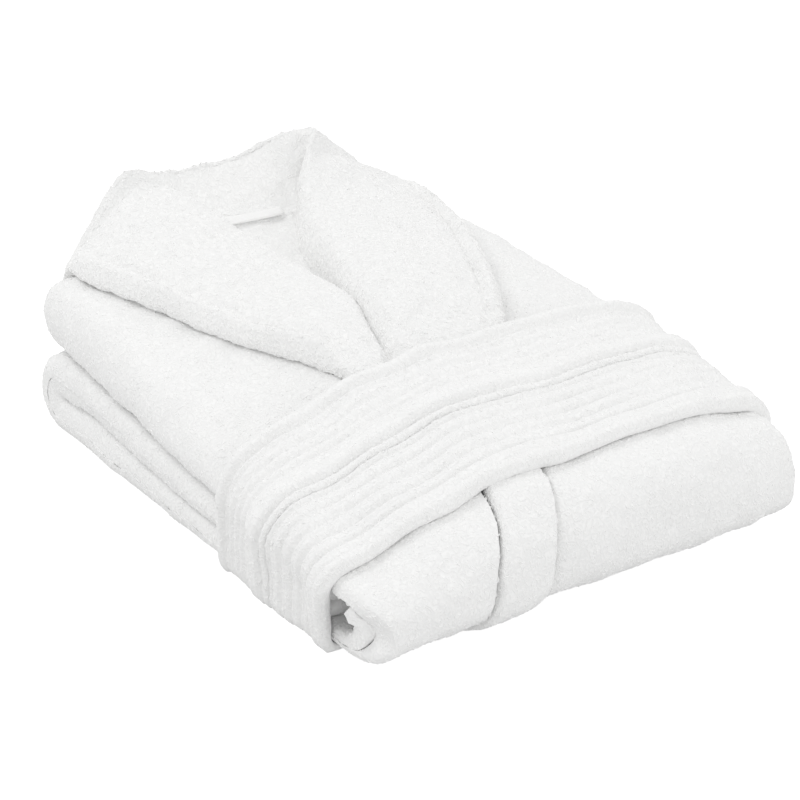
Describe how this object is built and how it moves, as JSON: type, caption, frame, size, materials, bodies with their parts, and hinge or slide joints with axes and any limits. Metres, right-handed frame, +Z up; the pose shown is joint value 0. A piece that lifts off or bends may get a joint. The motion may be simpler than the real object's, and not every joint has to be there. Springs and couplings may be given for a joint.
{
  "type": "folded bathrobe",
  "caption": "Terry bathrobe with a shawl collar, folded face up into a shelf pile, its own belt wound round the front half",
  "frame": {"origin": "On the shelf, under the middle of the folded pile's bounding box", "axes": "+X to the wearer's left, +Y to the neck, +Z up out of the shelf; the front roll faces -Y"},
  "size_m": [0.365, 0.4682, 0.1746],
  "materials": {
    "terry": "white cotton terry, short curled loop pile",
    "belt_terry": "white cotton terry, flattened by rows of lengthwise stitching",
    "tape": "white woven cotton tape"
  },
  "bodies": {
    "robe": {"back_panel": "terry", "right_front_panel": "terry", "left_front_panel": "terry", "right_front_band": "terry", "left_front_band": "terry", "right_pocket": "terry", "left_pocket": "terry", "hem_band": "terry", "right_sleeve": "terry", "left_sleeve": "terry", "right_cuff": "terry", "left_cuff": "terry", "right_belt_loop": "terry", "left_belt_loop": "terry", "right_lapel": "terry", "right_collar": "terry", "left_collar": "terry", "left_lapel": "terry", "collar_stand": "terry", "back_neck_facing": "terry"},
    "belt": {"belt_rear_turn": "belt_terry", "belt_front_turn": "belt_terry"},
    "hanger": {"hanger_loop": "tape"}
  },
  "joints": [
    {"name": "belt_slide", "type": "slide", "parent": "robe", "child": "belt", "axis": [0, -1, 0], "range_m": [0, 0.175]},
    {"name": "hanger_loop_flip", "type": "hinge", "parent": "robe", "child": "hanger", "pos_m": [-0.0095, 0.1678, 0.1313], "axis": [1, 0, 0], "range_deg": [0, 60]}
  ]
}
